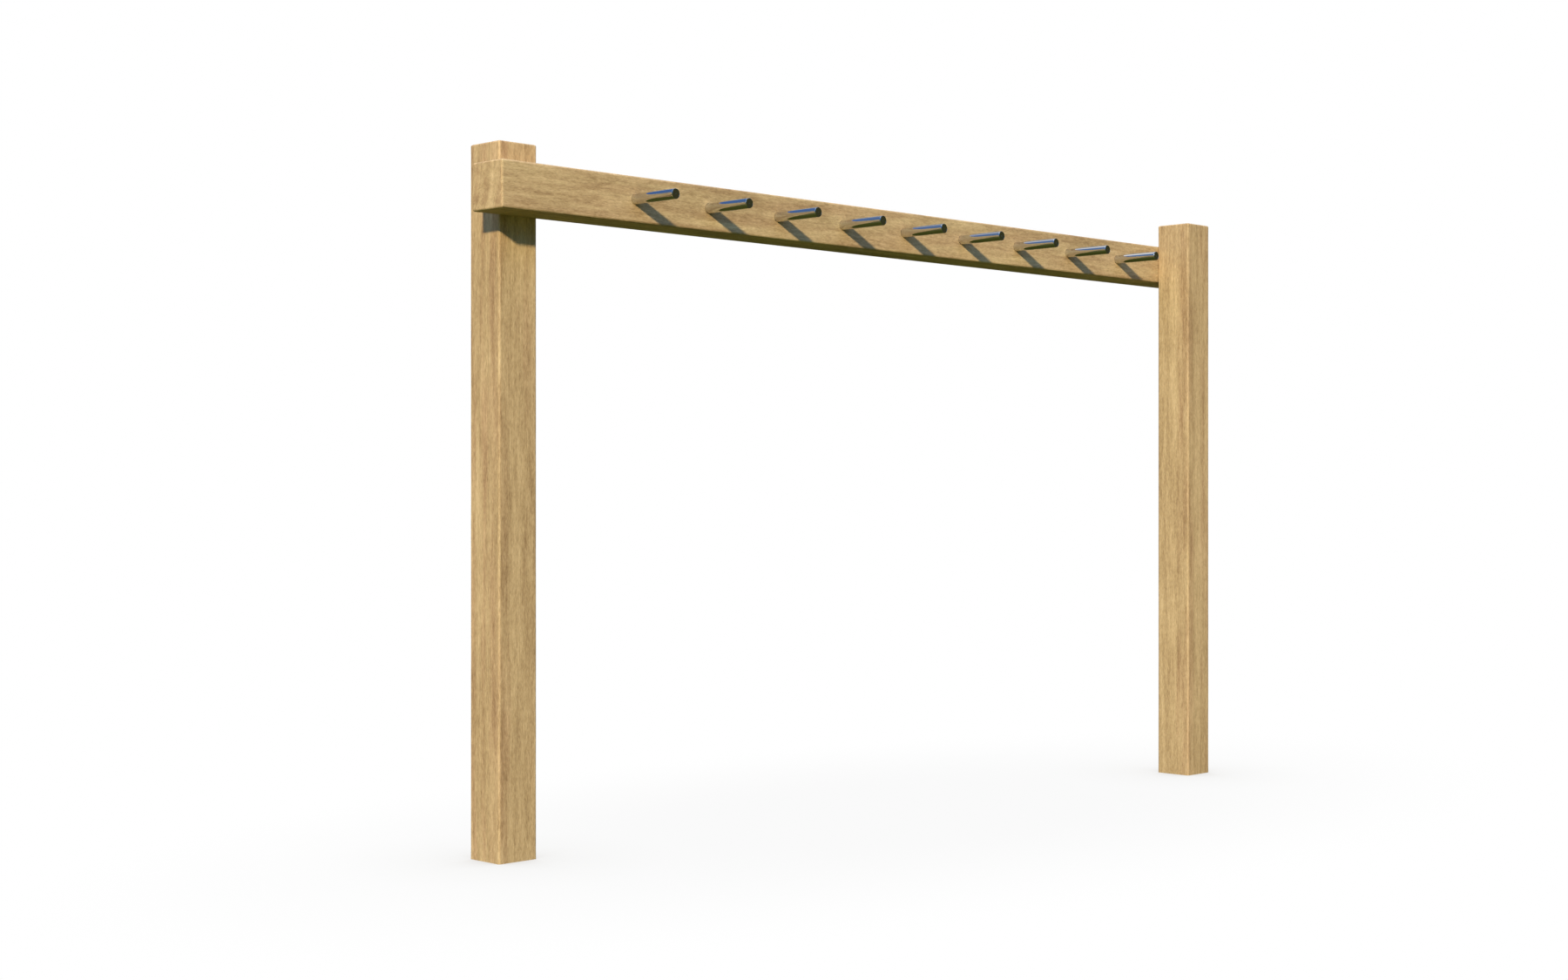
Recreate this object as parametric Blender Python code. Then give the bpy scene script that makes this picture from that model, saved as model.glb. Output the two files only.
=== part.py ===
"""Monkey bars: a level timber beam between two timber posts, with a row of steel pegs standing out of it.

Metres, +Z up. X runs along the beam, and the pegs point towards -Y. The origin is on the ground, at the middle
of the whole object's box. The left post stands behind the beam and the right post in front of it.
"""

import math

import bmesh
import bpy

# Timber: all three members are sawn from the same square section and planed.
TIMBER = 0.150
EASED_EDGE = 0.007
EASED_STEPS = 3
POST_HEIGHT = 2.265
POST_PITCH = 3.300
BEAM_LENGTH = 3.660
BEAM_UNDERSIDE = 2.030

# Pegs: steel tube, closed by a welded disc at each end, with a stud on the inner disc.
PEG_COUNT = 9
PEG_PITCH = 0.323
PEG_REACH = 0.193
PEG_DIAMETER = 0.0337
PEG_WALL = 0.0020
PEG_DISC = 0.0040
PEG_TIP_CHAMFER = 0.0008
PEG_VENT = 0.0030
SOCKET_DEPTH = 0.040
STUD_DIAMETER = 0.016
STUD_BORE = 0.018
STUD_PAST_NUT = 0.0030
STUD_CHAMFER = 0.0015

# Fixings that are let into the back of a timber, and the cap over each of them.
RECESS_DIAMETER = 0.052
RECESS_DEPTH = 0.022
NUT_ACROSS_FLATS = 0.024
NUT_HEIGHT = 0.0130
PEG_WASHER = (0.050, 0.0175, 0.0030)
SCREW_DIAMETER = 0.012
SCREW_LENGTH = 0.220
SCREW_POINT = 0.012
SCREW_ACROSS_FLATS = 0.019
SCREW_HEAD = 0.008
SCREW_WASHER = (0.044, 0.0135, 0.0040)
SCREW_SPREAD = 0.035
CAP_DIAMETER = 0.060
CAP_RISE = 0.0047
CAP_EDGE = 0.0018
CAP_CEILING = 0.0012
CAP_SKIRT_DEPTH = 0.010
CAP_SKIRT_WALL = 0.0020
DOME_RINGS = 3

# Solids that touch each other keep this much air between them.
GAP = 0.0003
# A cutter runs this far past the face that it enters.
OVERRUN = 0.004
# Sides on every round piece, and on every bore that takes one.
SIDES = 20

BEAM_FRONT = (PEG_REACH - 2 * TIMBER - GAP - CAP_RISE) / 2
BEAM_BACK = BEAM_FRONT + TIMBER
LEFT_POST_BACK = BEAM_BACK + GAP + TIMBER
BEAM_AXIS_HEIGHT = BEAM_UNDERSIDE + TIMBER / 2

# Turns a piece that is modelled along +Z so that it points out of the beam's front face, towards -Y.
TOWARDS_FRONT = (math.pi / 2, 0, 0)


def clear_scene():
    for obj in list(bpy.data.objects):
        bpy.data.objects.remove(obj, do_unlink=True)


def material(name, colour, roughness, metallic):
    made = bpy.data.materials.new(name)
    made.use_nodes = True
    made.diffuse_color = (*colour, 1)
    shader = made.node_tree.nodes["Principled BSDF"]
    shader.inputs["Base Color"].default_value = (*colour, 1)
    shader.inputs["Roughness"].default_value = roughness
    shader.inputs["Metallic"].default_value = metallic
    return made


def mesh_from(bm, name):
    bmesh.ops.recalc_face_normals(bm, faces=bm.faces)
    mesh = bpy.data.meshes.new(name)
    bm.to_mesh(mesh)
    bm.free()
    return mesh


def turned(name, profile, ring=False):
    """A mesh turned about Z from (radius, height) points. A ring's last point joins its first, off the axis."""
    bm = bmesh.new()
    points = [bm.verts.new((radius, 0, height)) for radius, height in profile]
    edges = [bm.edges.new(pair) for pair in zip(points, points[1:])]
    if ring:
        edges.append(bm.edges.new((points[-1], points[0])))
    bmesh.ops.spin(
        bm, geom=points + edges, cent=(0, 0, 0), axis=(0, 0, 1), angle=math.tau, steps=SIDES, use_merge=True
    )
    bmesh.ops.remove_doubles(bm, verts=bm.verts, dist=1e-6)
    mesh = mesh_from(bm, name)
    mesh.shade_smooth()
    mesh.set_sharp_from_angle(angle=math.radians(35))
    return mesh


def hexagon(name, across_flats, low, high):
    bm = bmesh.new()
    radius = across_flats / math.sqrt(3)
    bmesh.ops.create_cone(
        bm, segments=6, radius1=radius, radius2=radius, depth=high - low, cap_ends=True, cap_tris=False
    )
    bmesh.ops.translate(bm, verts=bm.verts, vec=(0, 0, (low + high) / 2))
    return mesh_from(bm, name)


def squared_timber(name, length, eased_foot):
    """A square timber along Z from 0 to length. Its long edges and its head are eased, its foot only if asked."""
    bm = bmesh.new()
    bmesh.ops.create_cube(bm, size=1)
    bmesh.ops.scale(bm, verts=bm.verts, vec=(TIMBER, TIMBER, length))
    bmesh.ops.translate(bm, verts=bm.verts, vec=(0, 0, length / 2))
    eased = [
        edge for edge in bm.edges if eased_foot or max(vert.co.z for vert in edge.verts) > length / 2
    ]
    bmesh.ops.bevel(
        bm, geom=eased, offset=EASED_EDGE, offset_type="OFFSET", segments=EASED_STEPS, profile=0.5, affect="EDGES"
    )
    return mesh_from(bm, name)


def place(name, mesh, parent=None, location=(0, 0, 0), rotation=(0, 0, 0), finish=None):
    obj = bpy.data.objects.new(name, mesh)
    bpy.context.scene.collection.objects.link(obj)
    obj.parent = parent
    obj.location = location
    obj.rotation_euler = rotation
    if finish:
        obj.data.materials.clear()
        obj.data.materials.append(finish)
    return obj


def cutter(name, mesh, parent=None, location=(0, 0, 0), rotation=(0, 0, 0)):
    obj = place(name, mesh, parent, location, rotation)
    obj.hide_render = True
    obj.display_type = "WIRE"
    return obj


def boolean(obj, operation, other):
    modifier = obj.modifiers.new(other.name, "BOOLEAN")
    modifier.operation = operation
    modifier.solver = "EXACT"
    modifier.object = other


def cut_all(obj, cutters):
    """Cuts every bore of a timber in one step."""
    bores = bpy.data.collections.new(f"{obj.name}_bores")
    bores.hide_render = True
    for tool in cutters:
        bores.objects.link(tool)
    modifier = obj.modifiers.new("bores", "BOOLEAN")
    modifier.operation = "DIFFERENCE"
    modifier.solver = "EXACT"
    modifier.operand_type = "COLLECTION"
    modifier.collection = bores


def combined(name, base, *steps):
    """One mesh made from base and (operation, mesh) steps, for the copies of a repeated piece to share."""
    helper = place(name + "_base", base)
    tools = [cutter(f"{name}_step_{i}", mesh) for i, (_, mesh) in enumerate(steps)]
    for (operation, _), tool in zip(steps, tools):
        boolean(helper, operation, tool)
    graph = bpy.context.evaluated_depsgraph_get()
    result = bpy.data.meshes.new_from_object(helper.evaluated_get(graph))
    result.name = name
    result.shade_smooth()
    result.set_sharp_from_angle(angle=math.radians(35))
    for used in (helper, *tools):
        bpy.data.objects.remove(used, do_unlink=True)
    return result


def washer_mesh(name, outer, hole, thickness):
    outline = [(hole / 2, 0), (outer / 2, 0), (outer / 2, thickness), (hole / 2, thickness)]
    return turned(name, outline, ring=True)


def cap_mesh():
    """A domed cap on a short skirt. Its height 0 is the timber's face, and the skirt goes down into the recess."""
    outer, skirt = CAP_DIAMETER / 2, RECESS_DIAMETER / 2 - GAP
    inner = skirt - CAP_SKIRT_WALL
    dome = []
    for ring in range(DOME_RINGS + 1):
        radius = outer * ring / DOME_RINGS
        dome.append((radius, CAP_RISE - (CAP_RISE - CAP_EDGE) * (radius / outer) ** 2))
    rim = [(outer, GAP), (skirt, GAP)]
    inside = [(skirt, -CAP_SKIRT_DEPTH), (inner, -CAP_SKIRT_DEPTH), (inner, CAP_CEILING), (0, CAP_CEILING)]
    return turned("cap", dome + rim + inside)


def peg_stack():
    """Heights along a peg's axis, from the beam's front face (0) outwards, of what clamps it at the back."""
    recess_floor = -(TIMBER - RECESS_DEPTH)
    washer = recess_floor - GAP - PEG_WASHER[2]
    nut = washer - GAP - NUT_HEIGHT
    return {"inner_end": -SOCKET_DEPTH + GAP, "washer": washer, "nut": nut, "stud_end": nut - STUD_PAST_NUT}


def peg_mesh(stack):
    """Tube, both end discs and stud, welded into one hollow piece. Its small vent lets the welding gas out."""
    outer, bore, stud = PEG_DIAMETER / 2, PEG_DIAMETER / 2 - PEG_WALL, STUD_DIAMETER / 2
    inner_end, stud_end = stack["inner_end"], stack["stud_end"]
    body = turned(
        "peg_body",
        [
            (0, PEG_REACH),
            (outer - PEG_TIP_CHAMFER, PEG_REACH),
            (outer, PEG_REACH - PEG_TIP_CHAMFER),
            (outer, inner_end),
            (stud, inner_end),
            (stud, stud_end + STUD_CHAMFER),
            (stud - STUD_CHAMFER, stud_end),
            (0, stud_end),
        ],
    )
    cavity_floor = inner_end + PEG_DISC
    cavity_top = PEG_REACH - PEG_DISC
    cavity = turned("peg_cavity", [(0, cavity_top), (bore, cavity_top), (bore, cavity_floor), (0, cavity_floor)])
    vent = turned(
        "peg_vent",
        [
            (0, cavity_floor + OVERRUN),
            (PEG_VENT / 2, cavity_floor + OVERRUN),
            (PEG_VENT / 2, inner_end - OVERRUN),
            (0, inner_end - OVERRUN),
        ],
    )
    for vert in vent.vertices:
        vert.co.y += (stud + bore) / 2
    return combined("peg", body, ("DIFFERENCE", cavity), ("DIFFERENCE", vent))


def peg_bore_mesh():
    """What a peg needs cut in the beam: its socket in front, the stud's bore, and the nut's recess at the back."""
    socket, bore, recess = PEG_DIAMETER / 2 + GAP, STUD_BORE / 2, RECESS_DIAMETER / 2
    recess_floor = -(TIMBER - RECESS_DEPTH)
    outline = [
        (0, OVERRUN),
        (socket, OVERRUN),
        (socket, -SOCKET_DEPTH),
        (bore, -SOCKET_DEPTH),
        (bore, recess_floor),
        (recess, recess_floor),
        (recess, -TIMBER - OVERRUN),
        (0, -TIMBER - OVERRUN),
    ]
    return turned("peg_bore", outline)


def nut_mesh():
    bore = STUD_DIAMETER / 2 + GAP
    outline = [(0, NUT_HEIGHT + OVERRUN), (bore, NUT_HEIGHT + OVERRUN), (bore, -OVERRUN), (0, -OVERRUN)]
    blank = hexagon("nut_blank", NUT_ACROSS_FLATS, 0, NUT_HEIGHT)
    return combined("nut", blank, ("DIFFERENCE", turned("nut_bore", outline)))


def screw_mesh():
    """A coach screw along +Z, with height 0 under its head."""
    shank = SCREW_DIAMETER / 2
    outline = [
        (0, -SCREW_HEAD / 2),
        (shank, -SCREW_HEAD / 2),
        (shank, SCREW_LENGTH - SCREW_POINT),
        (0, SCREW_LENGTH),
    ]
    head = hexagon("screw_head", SCREW_ACROSS_FLATS, -SCREW_HEAD, 0)
    return combined("coach_screw", head, ("UNION", turned("screw_shank", outline)))


def joint_bore_mesh():
    """What a coach screw needs cut through the rear timber and into the one before it, from the rear face (0)."""
    recess, bore = RECESS_DIAMETER / 2, SCREW_DIAMETER / 2 + GAP
    end = RECESS_DEPTH + SCREW_LENGTH
    outline = [
        (0, -OVERRUN),
        (recess, -OVERRUN),
        (recess, RECESS_DEPTH),
        (bore, RECESS_DEPTH),
        (bore, end),
        (0, end),
    ]
    return turned("joint_bore", outline)


def build_timbers(frame, wood):
    """The left post behind the beam, the right post in front of it, and the beam, laid along X."""
    post_x = POST_PITCH / 2
    left_y = BEAM_BACK + GAP + TIMBER / 2
    right_y = BEAM_FRONT - GAP - TIMBER / 2
    beam_end = (-BEAM_LENGTH / 2, (BEAM_FRONT + BEAM_BACK) / 2, BEAM_AXIS_HEIGHT)
    left_mesh = squared_timber("left_post", POST_HEIGHT, eased_foot=False)
    right_mesh = squared_timber("right_post", POST_HEIGHT, eased_foot=False)
    beam_mesh = squared_timber("beam", BEAM_LENGTH, eased_foot=True)
    left = place("left_post", left_mesh, frame, (-post_x, left_y, 0), finish=wood)
    right = place("right_post", right_mesh, frame, (post_x, right_y, 0), finish=wood)
    beam = place("beam", beam_mesh, frame, beam_end, (0, math.pi / 2, 0), wood)
    return left, right, beam


def build_pegs(frame, cap, steel, zinc, plastic):
    """Every peg with its washer, nut and cap. It returns the cutters of their bores in the beam."""
    stack = peg_stack()
    peg, bore, nut = peg_mesh(stack), peg_bore_mesh(), nut_mesh()
    washer = washer_mesh("peg_washer", *PEG_WASHER)
    bores = []
    for index in range(PEG_COUNT):
        number = index + 1
        x = (index - (PEG_COUNT - 1) / 2) * PEG_PITCH
        station = place(f"peg_station_{number}", None, frame, (x, BEAM_FRONT, BEAM_AXIS_HEIGHT), TOWARDS_FRONT)
        place(f"peg_{number}", peg, station, finish=steel)
        place(f"peg_washer_{number}", washer, station, (0, 0, stack["washer"]), finish=zinc)
        place(f"peg_nut_{number}", nut, station, (0, 0, stack["nut"]), finish=zinc)
        place(f"peg_cap_{number}", cap, station, (0, 0, -TIMBER), (math.pi, 0, 0), plastic)
        bores.append(cutter(f"peg_bore_{number}", bore, station))
    return bores


def build_joint(frame, side, x, rear_face, meshes, zinc, plastic):
    """Two coach screws, from the rear timber's back face into the timber before it. It returns their cutters."""
    screw, washer, cap, bore = meshes
    under_head = RECESS_DEPTH - SCREW_WASHER[2] - 2 * GAP
    bores = []
    for level, offset in (("upper", SCREW_SPREAD), ("lower", -SCREW_SPREAD)):
        name = f"{side}_{level}"
        centre = (x + offset, rear_face, BEAM_AXIS_HEIGHT + offset)
        station = place(f"joint_station_{name}", None, frame, centre, TOWARDS_FRONT)
        place(f"joint_screw_{name}", screw, station, (0, 0, under_head), finish=zinc)
        place(f"joint_washer_{name}", washer, station, (0, 0, under_head + GAP), finish=zinc)
        place(f"joint_cap_{name}", cap, station, rotation=(math.pi, 0, 0), finish=plastic)
        bores.append(cutter(f"joint_bore_{name}", bore, station))
    return bores


def build():
    clear_scene()
    wood = material("planed_timber", (0.50, 0.34, 0.15), 0.6, 0)
    steel = material("polished_steel", (0.62, 0.62, 0.60), 0.08, 1)
    zinc = material("plated_steel", (0.55, 0.56, 0.58), 0.35, 1)
    plastic = material("cap_plastic", (0.06, 0.065, 0.07), 0.45, 0)

    frame = place("monkey_bars", None)
    left, right, beam = build_timbers(frame, wood)
    cap = cap_mesh()
    peg_bores = build_pegs(frame, cap, steel, zinc, plastic)
    meshes = (screw_mesh(), washer_mesh("joint_washer", *SCREW_WASHER), cap, joint_bore_mesh())
    left_bores = build_joint(frame, "left", -POST_PITCH / 2, LEFT_POST_BACK, meshes, zinc, plastic)
    right_bores = build_joint(frame, "right", POST_PITCH / 2, BEAM_BACK, meshes, zinc, plastic)
    cut_all(left, left_bores)
    cut_all(right, right_bores)
    cut_all(beam, peg_bores + left_bores + right_bores)


build()
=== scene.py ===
"""Looks of the monkey bars: planed timbers, polished pegs, moulded caps and the fixings under them.

Metres, +Z up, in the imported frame. X runs along the beam and the pegs point towards -Y. Every place and outer
size is read from the frame. The constants here are the details that the frame doesn't hold.
"""

import math
import random

import bmesh
import bpy
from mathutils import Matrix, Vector, noise


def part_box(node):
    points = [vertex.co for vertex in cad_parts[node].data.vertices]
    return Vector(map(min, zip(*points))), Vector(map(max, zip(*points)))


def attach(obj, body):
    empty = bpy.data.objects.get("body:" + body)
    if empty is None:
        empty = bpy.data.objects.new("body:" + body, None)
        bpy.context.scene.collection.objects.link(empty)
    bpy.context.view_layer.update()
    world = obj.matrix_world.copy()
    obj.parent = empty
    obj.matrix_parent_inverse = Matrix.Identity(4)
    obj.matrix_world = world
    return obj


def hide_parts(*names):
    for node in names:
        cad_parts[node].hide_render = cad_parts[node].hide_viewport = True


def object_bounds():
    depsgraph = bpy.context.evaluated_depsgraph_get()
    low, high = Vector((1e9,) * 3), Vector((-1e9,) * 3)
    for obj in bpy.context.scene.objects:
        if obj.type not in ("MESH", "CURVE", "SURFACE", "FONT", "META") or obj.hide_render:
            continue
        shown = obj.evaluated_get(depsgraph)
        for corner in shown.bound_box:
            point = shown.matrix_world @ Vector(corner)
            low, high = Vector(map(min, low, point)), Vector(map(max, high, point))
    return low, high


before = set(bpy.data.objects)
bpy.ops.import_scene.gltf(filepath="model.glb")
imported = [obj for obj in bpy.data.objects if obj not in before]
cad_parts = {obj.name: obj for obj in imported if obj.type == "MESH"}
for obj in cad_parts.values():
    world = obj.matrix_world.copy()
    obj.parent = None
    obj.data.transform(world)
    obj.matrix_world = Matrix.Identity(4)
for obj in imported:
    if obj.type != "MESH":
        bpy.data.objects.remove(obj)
CAD_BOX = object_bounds()

# Timber: how far its edges are eased, and the most that wear has rubbed off them. Then its mesh: the steps
# round an eased edge and along a flat, the space between rings, and the rings from an end's middle outwards.
EASED_EDGE = 0.007
EDGE_WEAR = 0.0007
EASED_STEPS = 8
FLAT_STEPS = 6
RING_SPACING = 0.030
END_RINGS = 6
# Drying checks: the largest width, and how deep one goes.
CHECK_WIDTH = 0.0007
CHECK_DEPTH = 0.006

# Wood: the mean colour of the posts' long faces, of the paler beam's long faces, of ends, and of eased edges,
# which are partly rubbed paler and partly carry a painted highlight.
TIMBER_TONE = (0.512, 0.352, 0.195)
BEAM_TONE = (0.530, 0.378, 0.208)
END_TONE = (0.512, 0.352, 0.194)
RUBBED_AND_HIGHLIGHT_TONE = (0.600, 0.450, 0.260)
# How fast each channel follows the brightness, and what multiplies the flushed heartwood.
TONE_POWERS = (0.90, 1.05, 1.22)
HEART_TINT = (1.0, 0.94, 0.97)
# The width of a year's growth, and how far slow noise bends the rings.
YEAR = 0.0052
RING_BEND = 0.030

# Pegs: the tube's wall, the discs in its ends, its edges' chamfer, its depth in the beam, and its stud.
PEG_WALL = 0.0020
PEG_DISC = 0.0040
PEG_CHAMFER = 0.0008
SOCKET_DEPTH = 0.040
STUD_DIAMETER = 0.016
STUD_BORE = 0.018
STUD_THREAD = 0.045
# Fixings in their recesses: nuts, washers and coach screws. A hexagon's corners are cut at CHAMFER_ANGLE.
RECESS_DIAMETER = 0.052
NUT_BORE = 0.0163
NUT_LEAD = 0.0009
CHAMFER_ANGLE = math.radians(30)
PEG_WASHER_HOLE = 0.0175
WASHER_EDGE = 0.0004
SCREW_DIAMETER = 0.012
SCREW_THREAD = 0.130
SCREW_POINT = 0.012
SCREW_HEAD = 0.008
SCREW_WASHER_HOLE = 0.0135
# Caps: the skirt's wall, the hollow's ceiling above the timber's face, the flange's height and a rolled rim.
CAP_SKIRT_WALL = 0.0020
CAP_CEILING = 0.0012
CAP_FLANGE = 0.0018
CAP_RIM = 0.0012

# The air between pieces that touch, how far a cutter runs past a face, and how many sides a turned piece has.
GAP = 0.0003
OVERRUN = 0.004
SIDES = 96
SMALL_SIDES = 48
SCREW_SIDES = 24
# Points nearer than this are one, and edges sharper than this look sharp.
MERGE = 1e-6
SHARP = math.radians(35)

# Light: the ways that the key, the fill and the overhead travel.
KEY_DIRECTION = (1.2, 1.0, -0.610)
FILL_DIRECTION = (-1.0, -1.0, -0.5)
OVERHEAD_DIRECTION = (-0.25, -0.35, -1.0)
# What surrounds the object: (height of the direction, colour) from the horizon up, and from the horizon down.
# The pale ring high in the sky is the white line along the tops of the far pegs.
SKY = (
    (0.00, (0.200, 0.220, 0.220)),
    (0.20, (0.230, 0.250, 0.280)),
    (0.45, (0.150, 0.200, 0.280)),
    (0.60, (0.075, 0.165, 0.420)),
    (0.71, (0.080, 0.170, 0.440)),
    (0.755, (0.340, 0.390, 0.520)),
    (0.79, (0.850, 0.870, 0.920)),
    (0.815, (1.500, 1.450, 1.400)),
    (0.83, (1.500, 1.450, 1.400)),
    (0.86, (0.660, 0.720, 0.820)),
)
GROUND = (
    (0.00, (0.150, 0.140, 0.070)),
    (0.25, (0.135, 0.125, 0.050)),
    (0.42, (0.110, 0.110, 0.035)),
    (0.64, (0.070, 0.075, 0.015)),
    (0.85, (0.045, 0.055, 0.010)),
)
# The bright side, and what sky and ground turn into there.
BRIGHT_SIDE = (-0.751, -0.660)
BRIGHT_SKY = (
    (0.00, (0.120, 0.310, 0.530)),
    (0.30, (0.100, 0.460, 1.140)),
    (0.60, (0.340, 0.790, 1.620)),
    (0.85, (0.720, 1.080, 1.740)),
)
BRIGHT_GROUND = (
    (0.00, (0.360, 0.420, 0.150)),
    (0.35, (0.300, 0.360, 0.115)),
    (0.70, (0.060, 0.130, 0.010)),
)
# The side where the sky is hazy right down to the horizon, and its colour there.
HAZY_SIDE = (0.8, 0.6)
HAZE = (0.42, 0.48, 0.54)
# The side where a dark screen stands, and its colour.
SCREEN_SIDE = (0.707, -0.707)
SCREEN = (0.045, 0.045, 0.015)

# The camera: where it stands and how it is turned, as in the photo, its lens and sensor, and how far it sees.
CAMERA_PLACE = (-5.906, -5.3453, 1.1705)
CAMERA_TURN = (math.pi / 2, 0, -math.pi / 4)
FOCAL_LENGTH = 50
SENSOR_WIDTH = 36
FARTHEST_SEEN = 300
# How far the floor reaches from its middle.
FLOOR_REACH = 90

TOWARDS_FRONT = (math.pi / 2, 0, 0)
TOWARDS_BACK = (-math.pi / 2, 0, 0)
BEAM_LOW, BEAM_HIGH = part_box("beam")
TIMBER = BEAM_HIGH.y - BEAM_LOW.y


# ---------------------------------------------------------------- nodes


class Graph:
    """Adds nodes to a material's or a world's tree and links them as they are made.

    A value given to an input is either a socket, which is linked, or a constant, which is set on the input.
    """

    def __init__(self, owner):
        owner.use_nodes = True
        self.tree = owner.node_tree
        self.tree.nodes.clear()

    def node(self, kind, **settings):
        made = self.tree.nodes.new("ShaderNode" + kind)
        for name, value in settings.items():
            setattr(made, name, value)
        return made

    def feed(self, socket, value):
        if isinstance(value, bpy.types.NodeSocket):
            self.tree.links.new(value, socket)
        else:
            socket.default_value = value

    def math(self, operation, *values):
        made = self.node("Math", operation=operation)
        for socket, value in zip(made.inputs, values):
            self.feed(socket, value)
        return made.outputs[0]

    def vector(self, operation, *values):
        made = self.node("VectorMath", operation=operation)
        for socket, value in zip(made.inputs, values):
            self.feed(socket, value)
        return made.outputs["Value" if operation in ("LENGTH", "DOT_PRODUCT") else "Vector"]

    def parts(self, vector):
        made = self.node("SeparateXYZ")
        self.feed(made.inputs[0], vector)
        return made.outputs

    def noise(self, vector, stretch, detail=2.0, roughness=0.5, distortion=0.0, colour=False):
        """Noise with `stretch` features per metre along each axis. It is centred on 0.5."""
        made = self.node("TexNoise")
        self.feed(made.inputs["Vector"], self.vector("MULTIPLY", vector, stretch))
        made.inputs["Scale"].default_value = 1.0
        made.inputs["Detail"].default_value = detail
        made.inputs["Roughness"].default_value = roughness
        made.inputs["Distortion"].default_value = distortion
        return made.outputs["Color" if colour else "Fac"]

    def step(self, value, low, high):
        """0 below low, 1 above high, and smooth between them. low may be above high."""
        made = self.node("MapRange", interpolation_type="SMOOTHSTEP", clamp=True)
        self.feed(made.inputs["Value"], value)
        made.inputs["From Min"].default_value = low
        made.inputs["From Max"].default_value = high
        return made.outputs["Result"]

    def span(self, value, low, high, to_low, to_high):
        """to_low below low, to_high above high, and straight between them."""
        made = self.node("MapRange", clamp=True)
        self.feed(made.inputs["Value"], value)
        limits = {"From Min": low, "From Max": high, "To Min": to_low, "To Max": to_high}
        for name, limit in limits.items():
            made.inputs[name].default_value = limit
        return made.outputs["Result"]

    def total(self, *terms):
        """1 plus each (value, weight) term, where a value adds nothing at 0.5."""
        result = 1.0
        for value, weight in terms:
            result = self.math("MULTIPLY_ADD", self.math("SUBTRACT", value, 0.5), weight, result)
        return result

    def ramp(self, value, *stops):
        """A colour from (position, colour) stops."""
        made = self.node("ValToRGB")
        self.feed(made.inputs[0], value)
        elements = made.color_ramp.elements
        while len(elements) < len(stops):
            elements.new(0.5)
        for element, (position, colour) in zip(elements, stops):
            element.position = position
            element.color = (*colour, 1)
        return made.outputs["Color"]

    def mix(self, factor, first, second, blend="MIX"):
        """Two colours, each a socket or a constant, mixed by a factor."""
        made = self.node("Mix", data_type="RGBA", blend_type=blend)
        self.feed(made.inputs[0], factor)
        for socket, value in ((made.inputs[6], first), (made.inputs[7], second)):
            self.feed(socket, (*value, 1) if isinstance(value, tuple) else value)
        return made.outputs[2]

    def bump(self, height, distance, strength):
        made = self.node("Bump")
        self.feed(made.inputs["Height"], height)
        made.inputs["Distance"].default_value = distance
        made.inputs["Strength"].default_value = strength
        return made.outputs["Normal"]

    def principled(self, **values):
        """The surface shader. An input's name has _ for each space."""
        shader = self.node("BsdfPrincipled")
        for name, value in values.items():
            self.feed(shader.inputs[name.replace("_", " ")], value)
        output = self.node("OutputMaterial")
        self.feed(output.inputs["Surface"], shader.outputs["BSDF"])


# ---------------------------------------------------------------- materials


def wood_tone(g, value, tone):
    """The tone at a brightness value near 1. Darker wood turns redder and fuller, as heartwood streaks do."""
    low, high, steps = 0.5, 1.5, 4
    stops = []
    for step in range(steps + 1):
        level = low + (high - low) * step / steps
        colour = tuple(channel * level**power for channel, power in zip(tone, TONE_POWERS))
        stops.append((step / steps, colour))
    return g.ramp(g.span(value, low, high, 0.0, 1.0), *stops)


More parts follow.
